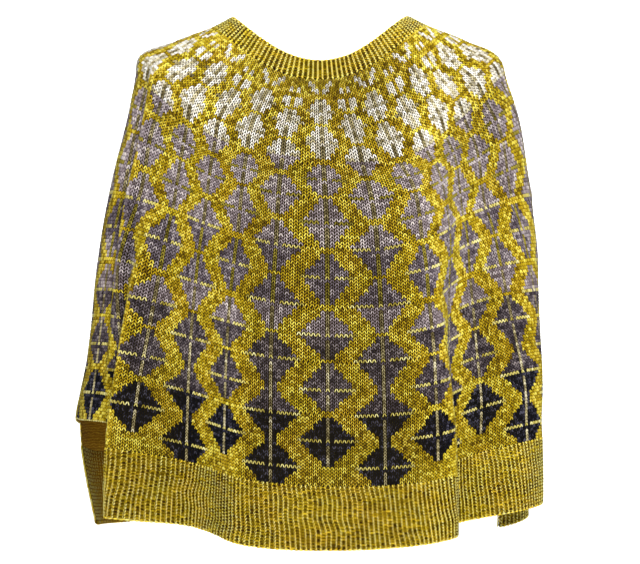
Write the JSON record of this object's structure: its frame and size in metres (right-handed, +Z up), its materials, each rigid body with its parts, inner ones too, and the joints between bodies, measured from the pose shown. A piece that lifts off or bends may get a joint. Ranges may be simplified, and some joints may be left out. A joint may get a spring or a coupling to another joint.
{
  "type": "knitted poncho",
  "caption": "Hip-length knitted yoke poncho that keeps its worn form, with a ribbed crew neckband, rows of quartered diamonds, side openings for the arms and flat ribbed hem panels.",
  "frame": {"origin": "on the middle line of the neck opening, level with the neckband's lower edge on the shoulders, where the wearer's shoulders carry the poncho", "axes": "+Z up, the front faces -Y, +X to the right as seen from the front"},
  "size_m": [0.5723, 0.3683, 0.6255],
  "materials": {
    "colourwork_knit": "matt stranded wool knit, mustard ground with diamonds from off-white through greys to near-black",
    "rib_knit": "matt wool knit in one-by-one rib, marled mustard"
  },
  "bodies": {
    "root": {"neckband": "rib_knit", "yoke": "colourwork_knit", "body": "colourwork_knit", "hem_front": "rib_knit", "hem_back": "rib_knit"}
  },
  "joints": []
}
